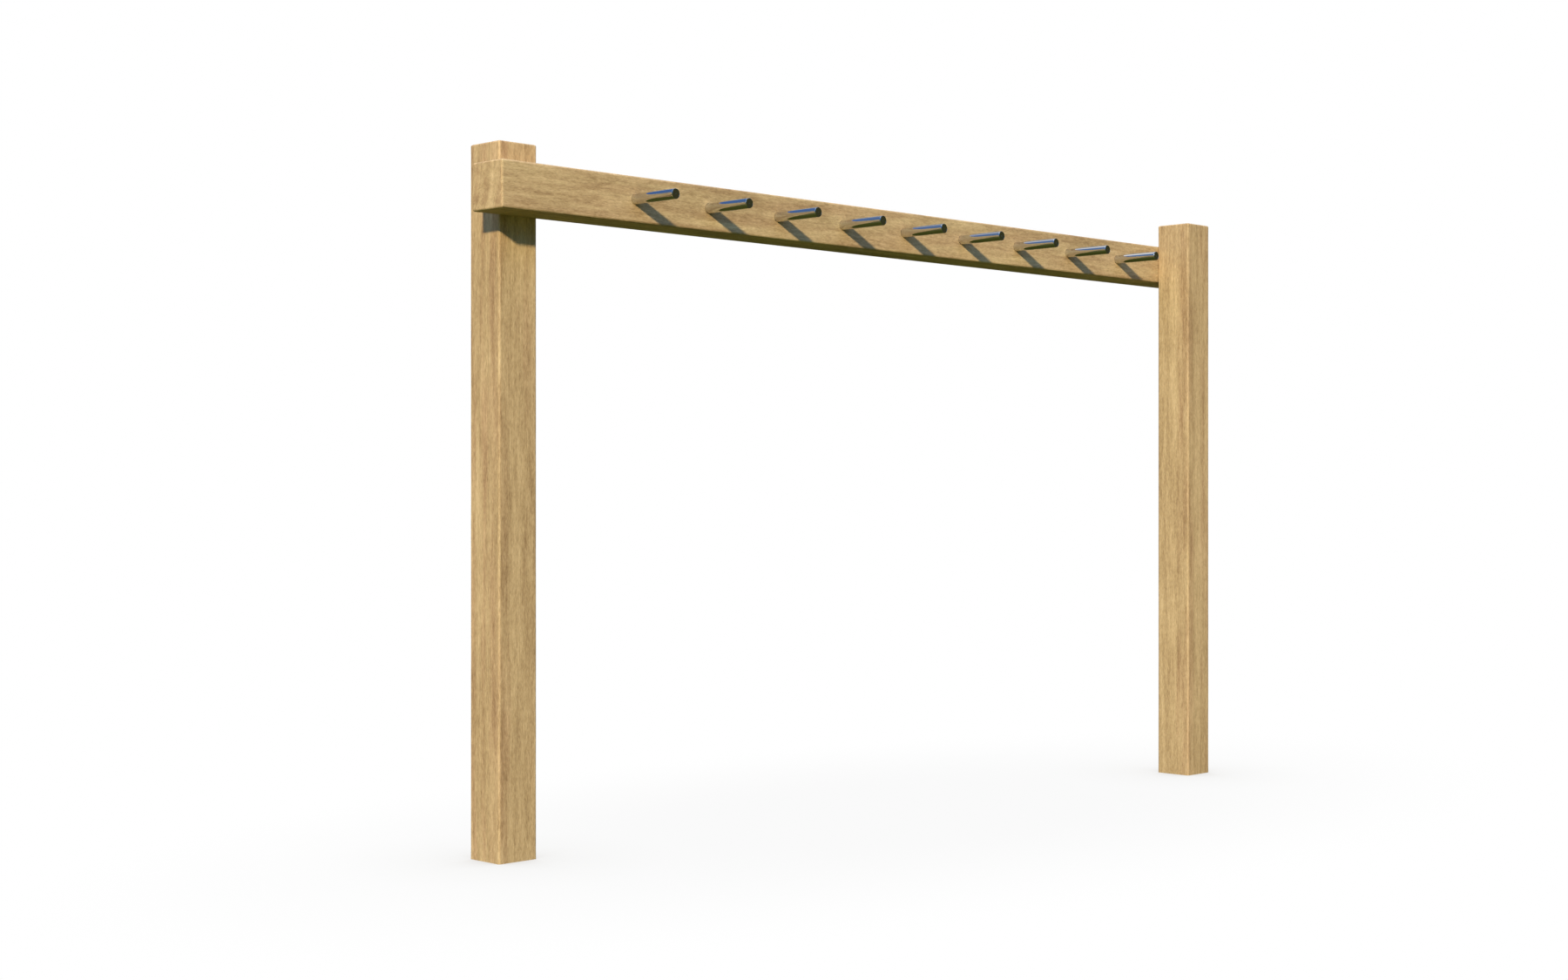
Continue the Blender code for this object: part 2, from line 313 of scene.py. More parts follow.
def planed_timber(name, tone, pith, shift):
    """Planed wood of that mean tone along the object's Z.

    pith is where its rings centre, across it, and shift picks its place in the grain.
    """
    made = bpy.data.materials.new(name)
    g = Graph(made)
    coords = g.node("TexCoord")
    place = coords.outputs["Object"]
    grain = g.vector("ADD", place, shift)

    # Growth rings round the pith, bent a little by slow noise.
    bend = g.vector("SUBTRACT", g.noise(grain, (9, 9, 1.6), 4, colour=True), (0.5, 0.5, 0.5))
    bent = g.vector("ADD", place, g.vector("MULTIPLY", bend, (RING_BEND, RING_BEND, 0)))
    across = g.vector("MULTIPLY", g.vector("SUBTRACT", bent, (*pith, 0)), (1, 1, 0))
    radius = g.vector("LENGTH", across)
    ring = g.math("FRACT", g.math("MULTIPLY", radius, 1 / YEAR))
    late = g.math("MULTIPLY", g.step(ring, 0.25, 0.93), g.step(ring, 1.0, 0.95))

    # Groups of darker years, and the redder heartwood among them, run the timber's whole length.
    years = g.noise(radius, (85, 60, 40), 3, 0.6)
    heart = g.noise(radius, (34, 21, 13), 2, 0.5)

    # Bands, flecks, fibres and pores, all stretched along the grain.
    broad = g.noise(grain, (9, 9, 1.5), 2)
    wide = g.noise(grain, (27, 27, 2.4), 3, 0.55, 0.3)
    band = g.noise(grain, (64, 64, 5), 4, 0.6, 0.3)
    mottle = g.noise(grain, (125, 125, 28), 4, 0.7, 0.3)
    speck = g.noise(grain, (330, 330, 80), 3, 0.65)
    fibre = g.noise(grain, (760, 760, 24), 3, 0.6)
    hair = g.noise(grain, (2300, 2300, 60), 2, 0.5)
    fleck = g.step(g.noise(grain, (230, 230, 34), 3, 0.6, 0.4), 0.56, 0.68)
    pore = g.step(g.noise(grain, (1250, 1250, 55), 1, 0.5), 0.64, 0.73)
    value = g.total(
        (years, -0.40),
        (heart, -0.25),
        (broad, 0.60),
        (wide, 0.70),
        (band, 0.75),
        (mottle, 0.85),
        (speck, 0.85),
        (fibre, 0.45),
        (hair, 0.30),
    )
    value = g.math("MULTIPLY_ADD", late, -0.05, value)
    value = g.math("MULTIPLY_ADD", fleck, -0.12, value)
    value = g.math("MULTIPLY_ADD", pore, -0.16, value)
    colour = wood_tone(g, value, tone)

    # Eased edges are painted a little paler here and there: partly rubbed wear, partly a painted highlight.
    sides = g.parts(g.vector("ABSOLUTE", place))
    edge = g.math("MINIMUM", sides[0], sides[1])
    half = TIMBER / 2
    wear_and_highlight = g.step(edge, half - EASED_EDGE, half - 0.001)
    wear_and_highlight = g.math("MULTIPLY", wear_and_highlight, g.span(mottle, 0.4, 0.62, 0.0, 1.0))
    colour = g.mix(g.math("MULTIPLY", wear_and_highlight, 0.15), colour, RUBBED_AND_HIGHLIGHT_TONE)

    # End grain shows its rings and open pores.
    facing = g.parts(g.vector("ABSOLUTE", coords.outputs["Normal"]))
    end = g.step(facing[2], 0.55, 0.85)
    dots = g.step(g.noise(grain, (900, 900, 900), 1), 0.60, 0.72)
    across_grain = g.total((years, -0.75), (heart, -0.8), (mottle, 0.9), (speck, 0.5), (wide, 0.9))
    across_grain = g.math("MULTIPLY_ADD", late, -0.30, g.math("ADD", across_grain, 0.08))
    across_grain = g.math("MULTIPLY_ADD", dots, -0.14, across_grain)
    colour = g.mix(end, colour, wood_tone(g, across_grain, END_TONE))

    # Streaks of the heartwood are flushed.
    flush = g.total((heart, 2.2), (wide, -2.0), (broad, 1.0))
    flush = g.span(flush, 0.9, 1.6, 0.0, 1.0)
    colour = g.mix(flush, colour, HEART_TINT, "MULTIPLY")

    rough = g.math("ADD", g.span(fibre, 0.2, 0.8, 0.57, 0.73), g.math("MULTIPLY", end, 0.12))
    rough = g.math("SUBTRACT", rough, g.math("MULTIPLY", wear_and_highlight, 0.08))
    relief = g.total((late, 0.15), (mottle, 0.40), (speck, 0.50), (fibre, 0.45), (hair, 0.20))
    relief = g.math("SUBTRACT", relief, g.math("MULTIPLY", pore, 0.35))
    relief = g.math("SUBTRACT", relief, g.math("MULTIPLY", g.math("MULTIPLY", dots, end), 0.4))
    normal = g.bump(relief, 0.0006, 0.7)
    g.principled(Base_Color=colour, Roughness=rough, Normal=normal, IOR=1.45, Specular_IOR_Level=0.35)
    return made


def polished_steel():
    """Mirror-polished stainless tube: faint turning lines round it, and a few duller smears from hands."""
    made = bpy.data.materials.new("polished_steel_look")
    g = Graph(made)
    place = g.node("TexCoord").outputs["Object"]
    smear = g.noise(place, (30, 30, 14), 3, 0.6, 0.8)
    rub = g.noise(place, (60, 60, 2600), 2, 0.6)
    colour = g.ramp(smear, (0.35, (0.60, 0.60, 0.59)), (0.65, (0.66, 0.66, 0.65)))
    rough = g.math("ADD", g.span(smear, 0.40, 0.75, 0.030, 0.075), g.span(rub, 0.3, 0.7, 0.0, 0.02))
    g.principled(Base_Color=colour, Metallic=1.0, Roughness=rough, Normal=g.bump(rub, 0.000008, 0.5))
    return made


def plated_steel():
    """Zinc plate on the fixings: a fine crystal mottle, and slightly dull."""
    made = bpy.data.materials.new("plated_steel_look")
    g = Graph(made)
    place = g.node("TexCoord").outputs["Object"]
    mottle = g.noise(place, (420, 420, 420), 4, 0.65, 0.6)
    bloom = g.noise(place, (90, 90, 90), 2)
    colour = g.ramp(mottle, (0.3, (0.47, 0.48, 0.51)), (0.7, (0.64, 0.65, 0.66)))
    colour = g.mix(g.step(bloom, 0.52, 0.75), colour, (0.60, 0.585, 0.52))
    rough = g.span(mottle, 0.2, 0.8, 0.26, 0.46)
    g.principled(Base_Color=colour, Metallic=1.0, Roughness=rough, Normal=g.bump(mottle, 0.00008, 0.5))
    return made


def cap_plastic():
    """Dark moulded polyethylene with a fine spark-eroded grain, greyer where its rim is rubbed."""
    made = bpy.data.materials.new("cap_plastic_look")
    g = Graph(made)
    place = g.node("TexCoord").outputs["Object"]
    spark = g.noise(place, (2600, 2600, 2600), 2, 0.6)
    cloud = g.noise(place, (60, 60, 60), 3)
    radius = g.vector("LENGTH", g.vector("MULTIPLY", place, (1, 1, 0)))
    rim = g.math("MULTIPLY", g.step(radius, 0.0275, 0.0297), g.span(cloud, 0.4, 0.65, 0.2, 1.0))
    colour = g.ramp(cloud, (0.3, (0.050, 0.054, 0.058)), (0.7, (0.070, 0.075, 0.080)))
    colour = g.mix(g.math("MULTIPLY", rim, 0.5), colour, (0.130, 0.135, 0.140))
    rough = g.math("ADD", g.span(spark, 0.25, 0.75, 0.38, 0.56), g.math("MULTIPLY", rim, 0.1))
    g.principled(Base_Color=colour, Roughness=rough, Normal=g.bump(spark, 0.00012, 0.6))
    return made


# ---------------------------------------------------------------- mesh tools


def close_skin(bm):
    """Merges the points that coincide and turns every face outwards."""
    bmesh.ops.remove_doubles(bm, verts=bm.verts, dist=MERGE)
    bmesh.ops.recalc_face_normals(bm, faces=bm.faces)


def shade(mesh):
    mesh.shade_smooth()
    mesh.set_sharp_from_angle(angle=SHARP)


def mesh_from(bm, name):
    """A mesh of bm, which is freed."""
    mesh = bpy.data.meshes.new(name)
    bm.to_mesh(mesh)
    bm.free()
    return mesh


def finished_mesh(bm, name):
    close_skin(bm)
    mesh = mesh_from(bm, name)
    shade(mesh)
    return mesh


def loft(bm, rings):
    """Joins rings of as many points each with a skin of quads."""
    made = [[bm.verts.new(point) for point in ring] for ring in rings]
    count = len(made[0])
    for lower, upper in zip(made, made[1:]):
        for i in range(count):
            j = (i + 1) % count
            bm.faces.new((lower[i], lower[j], upper[j], upper[i]))


def turned(name, outline, steps=SIDES, thread=None, hollow=None):
    """A mesh turned about Z from an outline of (radius, height) points, which ends on the axis or closes.

    thread is (low, high, pitch, depth) of a screw thread cut in it. hollow is the outline of a closed cavity.
    """
    bm = turned_skin(outline, steps, thread)
    if hollow:
        cavity = turned_skin(hollow, steps, None)
        bmesh.ops.reverse_faces(cavity, faces=cavity.faces)
        inside = mesh_from(cavity, "inside")
        bm.from_mesh(inside)
        bpy.data.meshes.remove(inside)
    mesh = mesh_from(bm, name)
    shade(mesh)
    return mesh


def turned_skin(outline, steps, thread):
    bm = bmesh.new()
    loft(bm, [ring_points(radius, height, steps, thread) for radius, height in outline])
    close_skin(bm)
    return bm


def ring_points(radius, height, steps, thread):
    points = []
    for step in range(steps):
        angle = math.tau * step / steps
        reach = radius - thread_cut(height, angle, thread) if thread and radius > 0 else radius
        points.append((reach * math.cos(angle), reach * math.sin(angle), height))
    return points


def thread_cut(height, angle, thread):
    """How deep the thread is cut there. It fades in and out over one turn."""
    low, high, pitch, depth = thread
    if not low <= height <= high:
        return 0
    fade = min(1, (height - low) / pitch, (high - height) / pitch)
    turn = (height / pitch + angle / math.tau) % 1
    return depth * fade * abs(2 * turn - 1)


def levels(low, high, spacing):
    """Evenly spaced heights from low to high, both included."""
    count = max(1, round(abs(high - low) / spacing))
    return [low + (high - low) * i / count for i in range(count + 1)]


def add_cone(bm, sides, low_radius, high_radius, depth, centre):
    """Adds a solid cone, cylinder or prism about Z to bm."""
    made = bmesh.ops.create_cone(
        bm,
        segments=sides,
        radius1=low_radius,
        radius2=high_radius,
        depth=depth,
        cap_ends=True,
        cap_tris=False,
    )
    bmesh.ops.translate(bm, verts=made["verts"], vec=centre)


def hexagon(name, across_flats, low, high):
    bm = bmesh.new()
    radius = across_flats / math.sqrt(3)
    add_cone(bm, 6, radius, radius, high - low, (0, 0, (low + high) / 2))
    return finished_mesh(bm, name)


def hexagon_crown(flats):
    """How a hexagon's corners are cut: the crown's radius, one past the corners, and the drop between."""
    crown = flats / 2 * 0.95
    corner = flats / math.sqrt(3) + 0.0005
    return crown, corner, (corner - crown) * math.tan(CHAMFER_ANGLE)


def put(name, mesh, location=(0, 0, 0), rotation=(0, 0, 0)):
    obj = bpy.data.objects.new(name, mesh)
    bpy.context.scene.collection.objects.link(obj)
    obj.location = location
    obj.rotation_euler = rotation
    return obj


def carved(name, obj, operation, tools):
    """A new mesh of obj after one Boolean with tools, which are removed."""
    group = bpy.data.collections.new(name + "_tools")
    for tool in tools:
        group.objects.link(tool)
    modifier = obj.modifiers.new("cut", "BOOLEAN")
    modifier.operation = operation
    modifier.solver = "EXACT"
    modifier.operand_type = "COLLECTION"
    modifier.collection = group
    bpy.context.view_layer.update()
    graph = bpy.context.evaluated_depsgraph_get()
    mesh = bpy.data.meshes.new_from_object(obj.evaluated_get(graph))
    mesh.name = name
    shade(mesh)
    obj.modifiers.clear()
    for tool in tools:
        bpy.data.objects.remove(tool, do_unlink=True)
    bpy.data.collections.remove(group)
    return mesh


def combined(name, base, *steps):
    """One mesh from base and (operation, mesh) steps, for repeated pieces to share."""
    helper = put(name + "_base", base)
    for operation, mesh in steps:
        helper.data = carved(name, helper, operation, [put(name + "_tool", mesh)])
    mesh = helper.data
    bpy.data.objects.remove(helper, do_unlink=True)
    return mesh


def finish_piece(node, mesh, material, location, rotation):
    """The piece that stands for a CAD node: placed, given its material, and riding on the node's body."""
    piece = put(node + "_visual", mesh, location, rotation)
    mesh.materials.clear()
    mesh.materials.append(material)
    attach(piece, "root")
    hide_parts(node)


# ---------------------------------------------------------------- timbers


def square_ring(half, radius, height):
    """A square of that half-width with rounded corners, as points at one height."""
    arcs = []
    for quarter in range(4):
        start = quarter * math.pi / 2
        centre = towards(start + math.pi / 4) * (half - radius) * math.sqrt(2)
        angles = [start + math.pi / 2 * step / EASED_STEPS for step in range(EASED_STEPS + 1)]
        arcs.append([centre + radius * towards(angle) for angle in angles])
    points = []
    for arc, following in zip(arcs, arcs[1:] + arcs[:1]):
        points += arc
        points += [arc[-1].lerp(following[0], step / FLAT_STEPS) for step in range(1, FLAT_STEPS)]
    return [(point.x, point.y, height) for point in points]


def towards(angle):
    return Vector((math.cos(angle), math.sin(angle)))


def end_rings(height, way, eased):
    """The rings from an end's middle out to the full section. way is +1 at the head and -1 at the foot."""
    half = TIMBER / 2
    flat = half - EASED_EDGE if eased else half
    rings = [square_ring(flat * step / END_RINGS, 0, height) for step in range(END_RINGS)]
    if not eased:
        return rings + [square_ring(half, EASED_EDGE, height)]
    rings.append(square_ring(flat, 0, height))
    for step in range(1, EASED_STEPS + 1):
        angle = math.pi / 2 * step / EASED_STEPS
        inset = EASED_EDGE * (1 - math.sin(angle))
        drop = EASED_EDGE * (1 - math.cos(angle))
        rings.append(square_ring(half - inset, EASED_EDGE - inset, height - way * drop))
    return rings


def timber_mesh(name, length, eased_foot, seed):
    """A square timber along Z from 0 to length. Its long edges are eased, and rubbed unevenly."""
    bm = bmesh.new()
    foot = end_rings(0, -1, eased_foot)
    head = end_rings(length, 1, True)
    low = EASED_EDGE if eased_foot else 0
    heights = levels(low, length - EASED_EDGE, RING_SPACING)[1:-1]
    body = [square_ring(TIMBER / 2, EASED_EDGE, height) for height in heights]
    loft(bm, foot + body + head[::-1])
    for vert in bm.verts:
        if EASED_EDGE < vert.co.z < length - EASED_EDGE:
            vert.co = rubbed(vert.co, seed)
    return finished_mesh(bm, name)


def rubbed(co, seed):
    """The same point, but moved inwards by a slowly varying amount where it is on an eased edge."""
    flat = TIMBER / 2 - EASED_EDGE
    corner = min(abs(co.x), abs(co.y)) - flat
    if corner <= 1e-5:
        return co
    wear = 0.5 + 0.5 * noise.noise(Vector((co.x * 4 + seed, co.y * 4, co.z * 9)))
    share = min(1, corner / (0.25 * EASED_EDGE))
    centre = Vector((math.copysign(flat, co.x), math.copysign(flat, co.y), co.z))
    return co + (centre - co).normalized() * EDGE_WEAR * wear * share


def check_mesh(name, length, width, depth, draw):
    """A drying check along X in the plane z = 0: a ragged wedge, widest in the middle, closed at its ends."""
    bm = bmesh.new()
    count = 12
    rings = []
    for step in range(count + 1):
        share = step / count
        swell = math.sin(math.pi * share) ** 0.6 if 0 < step < count else 0
        x = (share - 0.5) * length
        y = draw.uniform(-0.5, 0.5) * width * 1.5 * swell
        opening = width / 2 * swell * draw.uniform(0.7, 1.0)
        above = 0.001 * swell
        rings.append([(x, y - opening, above), (x, y + opening, above), (x, y, -depth * swell)])
    loft(bm, rings)
    return finished_mesh(bm, name)


def end_checks(timber, height, facing, draw, angles):
    """Checks in one end of a timber, one at each angle round it, as cutters parented to the timber."""
    tools = []
    for number, angle in enumerate(angles):
        length = draw.uniform(0.022, 0.048)
        out = draw.uniform(0.020, 0.040)
        mesh = check_mesh("check", length, CHECK_WIDTH * draw.uniform(0.6, 1), CHECK_DEPTH, draw)
        tool = put(f"{timber.name}_end_check_{facing}_{number}", mesh)
        turn = Vector((math.cos(angle), math.sin(angle), 0))
        tool.parent = timber
        tool.location = turn * out + Vector((0, 0, height))
        tool.rotation_euler = (0 if facing > 0 else math.pi, 0, angle)
        tools.append(tool)
    return tools


def peg_stations():
    """For each peg: its number, and the point where its axis crosses the beam's front face."""
    count = sum(1 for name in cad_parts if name.startswith("peg_cap_"))
    found = []
    for number in range(1, count + 1):
        low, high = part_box(f"peg_{number}")
        found.append((number, Vector(((low.x + high.x) / 2, BEAM_LOW.y, (low.z + high.z) / 2))))
    return found


def joint_stations():
    """For each coach screw: its name, and the point where its axis crosses the rear timber's back face."""
    found = []
    for side, back in (("left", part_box("left_post")[1].y), ("right", BEAM_HIGH.y)):
        for level in ("upper", "lower"):
            low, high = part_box(f"joint_screw_{side}_{level}")
            found.append((f"{side}_{level}", Vector(((low.x + high.x) / 2, back, (low.z + high.z) / 2))))
    return found


def peg_bore():
    """The socket, stud hole and nut recess of one peg, with the socket's lip just broken."""
    low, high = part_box("peg_1")
    socket = (high.x - low.x) / 2 + GAP
    floor = BEAM_LOW.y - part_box("peg_washer_1")[0].y + GAP
    back = BEAM_LOW.y - BEAM_HIGH.y
    lip = 0.0006
    outline = [
        (0, OVERRUN),
        (socket + lip, OVERRUN),
        (socket + lip, lip / 4),
        (socket, -lip),
        (socket, -SOCKET_DEPTH),
        (STUD_BORE / 2, -SOCKET_DEPTH),
        (STUD_BORE / 2, floor),
        (RECESS_DIAMETER / 2, floor),
        (RECESS_DIAMETER / 2, back - OVERRUN),
        (0, back - OVERRUN),
    ]
    return turned("peg_bore", outline)


def joint_bore(name, back):
    """The recess and the screw's hole, from the rear timber's back face forwards."""
    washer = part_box(f"joint_washer_{name}")
    floor = back - washer[0].y + GAP
    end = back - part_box(f"joint_screw_{name}")[0].y + GAP
    bore = SCREW_DIAMETER / 2 + GAP
    outline = [
        (0, -OVERRUN),
        (RECESS_DIAMETER / 2, -OVERRUN),
        (RECESS_DIAMETER / 2, floor),
        (bore, floor),
        (bore, end - SCREW_POINT),
        (0, end),
    ]
    return turned("joint_bore", outline, SMALL_SIDES)


def make_timber(node, length, location, rotation, eased_foot, seed, material, bores, checks):
    """A timber cut by its bores, as (mesh, place), and its checks, as (height, way they face, angles)."""
    mesh = timber_mesh(node + "_wood", length, eased_foot, seed)
    timber = put(node + "_timber", mesh, location, rotation)
    draw = random.Random(seed)
    tools = [put(f"{node}_bore_{i}", mesh, at, TOWARDS_FRONT) for i, (mesh, at) in enumerate(bores)]
    for height, facing, angles in checks:
        tools += end_checks(timber, height, facing, draw, angles)
    timber.data = carved(node + "_wood", timber, "DIFFERENCE", tools)
    timber.data.materials.clear()
    timber.data.materials.append(material)
    timber.modifiers.new("even_flats", "WEIGHTED_NORMAL").keep_sharp = True
    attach(timber, "root")
    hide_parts(node)


def make_timbers(pegs, joints):
    peg_hole = peg_bore()
    left = [(joint_bore(name, at.y), at) for name, at in joints if name.startswith("left")]
    right = [(joint_bore(name, at.y), at) for name, at in joints if name.startswith("right")]
    head_checks = (0.6, 1.9, 3.3, 4.4, 5.5)
    upright = (0, 0, 0)
    for node, seed, pith, shift, bores in (
        ("left_post", 3, (0.19, -0.26), (5.1, 2.7, 6.9), left),
        ("right_post", 11, (0.18, 0.12), (13.1, 1.7, 13.4), right),
    ):
        low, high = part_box(node)
        wood = planed_timber(node + "_planed", TIMBER_TONE, pith, shift)
        foot = ((low.x + high.x) / 2, (low.y + high.y) / 2, low.z)
        length = high.z - low.z
        make_timber(node, length, foot, upright, False, seed, wood, bores, [(length, 1, head_checks)])
    wood = planed_timber("beam_planed", BEAM_TONE, (-0.05, 0.23), (19.4, 7.7, 12.7))
    start = (BEAM_LOW.x, (BEAM_LOW.y + BEAM_HIGH.y) / 2, (BEAM_LOW.z + BEAM_HIGH.z) / 2)
    length = BEAM_HIGH.x - BEAM_LOW.x
    along_x = (0, math.pi / 2, 0)
    bores = [(peg_hole, at) for _, at in pegs] + left + right
    ends = [(length, 1, (1.2, 1.7, 4.5, 5.0)), (0, -1, (1.4, 1.9, 4.4, 4.9))]
    make_timber("beam", length, start, along_x, True, 7, wood, bores, ends)


# ---------------------------------------------------------------- pegs, fixings and caps


def peg_mesh():
    """Tube, tip disc with its fine seam ring, and the threaded stud."""
    low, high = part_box("peg_1")
    outer = (high.x - low.x) / 2
    reach = BEAM_LOW.y - low.y
    stud_end = BEAM_LOW.y - high.y
    inner_end = -SOCKET_DEPTH + GAP
    seam = outer - PEG_WALL
    # The tip's disc has a small centre mark, and a fine groove where it meets the tube.
    mark, groove = 0.0004, 0.0003
    outline = [
        (0, reach - mark),
        (0.0010, reach - mark),
        (0.0012, reach),
        (0.0024, reach),
        (seam - 0.0010, reach),
        (seam - groove, reach),
        (seam - groove / 3, reach - groove),
        (seam + groove / 3, reach - groove),
        (seam + groove, reach),
    ]
    for step in range(5):
        angle = math.pi / 2 * step / 4
        radius = outer - PEG_CHAMFER * (1 - math.sin(angle))
        outline.append((radius, reach - PEG_CHAMFER * (1 - math.cos(angle))))
    outline += [(outer, height) for height in levels(reach - 0.004, inner_end + 0.001, 0.020)]
    # Inner disc, weld fillet and stud.
    stud, fillet, point = STUD_DIAMETER / 2, 0.0025, 0.0015
    outline += [(outer - 0.0006, inner_end), (stud + fillet, inner_end), (stud, inner_end - fillet)]
    thread = (stud_end + 0.001, stud_end + STUD_THREAD, 0.002, 0.0012)
    outline += [(stud, height) for height in levels(stud_end + STUD_THREAD, stud_end + point, 0.0004)]
    outline += [(stud - point, stud_end), (0, stud_end)]
    top, floor = reach - PEG_DISC, inner_end + PEG_DISC
    hollow = [(0, top), (seam, top), (seam, floor), (0, floor)]
    return turned("peg", outline, SIDES, thread, hollow)


def nut_mesh():
    """A hexagon nut from 0 up, chamfered on both faces, with a lead into its bore at both ends."""
    low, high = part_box("peg_nut_1")
    height = high.y - low.y
    flats = min(high.x - low.x, high.z - low.z)
    blank = hexagon("nut_blank", flats, 0, height)
    crown, corner, drop = hexagon_crown(flats)
    outline = [(0, 0), (crown, 0), (corner, drop), (corner, height - drop), (crown, height), (0, height)]
    chamfered = turned("nut_chamfer", outline, SMALL_SIDES)
    bore = NUT_BORE / 2
    mouth = bore + NUT_LEAD + OVERRUN
    outline = [
        (0, -OVERRUN),
        (mouth, -OVERRUN),
        (bore, NUT_LEAD),
        (bore, height - NUT_LEAD),
        (mouth, height + OVERRUN),
        (0, height + OVERRUN),
    ]
    hole = turned("nut_hole", outline, SMALL_SIDES)
    return combined("nut", blank, ("INTERSECT", chamfered), ("DIFFERENCE", hole))


def washer_mesh(node, hole):
    low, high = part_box(node)
    outer, inner = (high.x - low.x) / 2, hole / 2
    thick, edge = high.y - low.y, WASHER_EDGE
    outline = [
        (inner, edge),
        (inner + edge, 0),
        (outer - edge, 0),
        (outer, edge),
        (outer, thick - edge),
        (outer - edge, thick),
        (inner + edge, thick),
        (inner, thick - edge),
        (inner, edge),
    ]
    return turned(node + "_turned", outline, SMALL_SIDES)


def screw_mesh(name):
    """A coach screw along +Z from under its head at 0: chamfered head, plain shank, thread and point."""
    low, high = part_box(f"joint_screw_{name}")
    length = high.y - low.y - SCREW_HEAD
    flats = min(high.x - low.x, high.z - low.z)
    shank = SCREW_DIAMETER / 2
    head = hexagon("screw_head", flats, -SCREW_HEAD, 0)
    crown, corner, drop = hexagon_crown(flats)
    past = 0.001
    outline = [(0, -SCREW_HEAD), (crown, -SCREW_HEAD), (corner, drop - SCREW_HEAD), (corner, past), (0, past)]
    chamfered = turned("screw_head_chamfer", outline, SMALL_SIDES)
    start, end = length - SCREW_THREAD, length - SCREW_POINT
    outline = [(0, -SCREW_HEAD / 2), (shank, -SCREW_HEAD / 2)]
    outline += [(shank, height) for height in levels(start, end, 0.0010)]
    outline += [(shank * 0.55, length - SCREW_POINT * 0.45), (0, length)]
    thread = (start + 0.001, length - 0.001, 0.005, 0.0018)
    body = turned("screw_shank", outline, SCREW_SIDES, thread)
    return combined("coach_screw", head, ("INTERSECT", chamfered), ("UNION", body))


def cap_mesh():
    """A domed cap on a skirt, with a gate mark in its middle, a rolled rim and two pry notches."""
    low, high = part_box("peg_cap_1")
    outer = (high.x - low.x) / 2
    rise = high.y - BEAM_HIGH.y
    skirt_depth = BEAM_HIGH.y - low.y
    skirt = RECESS_DIAMETER / 2 - GAP
    gate, mark, steps = 0.002, 0.0004, 12
    dome = [(0, rise - mark), (0.0012, rise - mark), (0.0016, rise - 0.00015)]
    for step in range(1, steps + 1):
        radius = gate + (outer - CAP_RIM - gate) * step / steps
        dome.append((radius, rise - (rise - CAP_FLANGE) * (radius / outer) ** 2.2))
    edge = dome[-1][1]
    for step in range(1, 5):
        angle = math.pi / 2 * step / 4
        dome.append((outer - CAP_RIM * (1 - math.sin(angle)), edge - CAP_RIM * (1 - math.cos(angle))))
    rim = [(outer, GAP + 0.0002), (outer - 0.0002, GAP), (skirt, GAP)]
    inner = skirt - CAP_SKIRT_WALL
    inside = [
        (skirt, -skirt_depth + 0.001),
        (skirt - 0.0006, -skirt_depth),
        (inner, -skirt_depth),
        (inner, CAP_CEILING),
        (0, CAP_CEILING),
    ]
    body = turned("cap_body", dome + rim + inside, SIDES)
    bm = bmesh.new()
    for side in (-1, 1):
        add_cone(bm, 24, 0.0030, 0.0022, 0.0016, (side * (outer + 0.0014), 0, 0.0007))
    return combined("cap", body, ("DIFFERENCE", finished_mesh(bm, "cap_notches")))


def make_fixings(pegs, joints):
    """The pegs and all that holds them and the timbers, each repeated piece sharing one mesh."""
    steel, zinc, plastic = polished_steel(), plated_steel(), cap_plastic()
    peg, nut, cap = peg_mesh(), nut_mesh(), cap_mesh()
    washer = washer_mesh("peg_washer_1", PEG_WASHER_HOLE)
    for number, at in pegs:
        finish_piece(f"peg_{number}", peg, steel, at, TOWARDS_FRONT)
        for node, mesh in ((f"peg_nut_{number}", nut), (f"peg_washer_{number}", washer)):
            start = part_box(node)[1].y
            finish_piece(node, mesh, zinc, (at.x, start, at.z), TOWARDS_FRONT)
        back = (at.x, BEAM_HIGH.y, at.z)
        finish_piece(f"peg_cap_{number}", cap, plastic, back, TOWARDS_BACK)
    screw = screw_mesh("left_upper")
    joint_washer = washer_mesh("joint_washer_left_upper", SCREW_WASHER_HOLE)
    for name, at in joints:
        under_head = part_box(f"joint_screw_{name}")[1].y - SCREW_HEAD
        place = (at.x, under_head, at.z)
        finish_piece(f"joint_screw_{name}", screw, zinc, place, TOWARDS_FRONT)
        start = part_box(f"joint_washer_{name}")[1].y
        place = (at.x, start, at.z)
        finish_piece(f"joint_washer_{name}", joint_washer, zinc, place, TOWARDS_FRONT)
        finish_piece(f"joint_cap_{name}", cap, plastic, at, TOWARDS_BACK)


# ---------------------------------------------------------------- stage


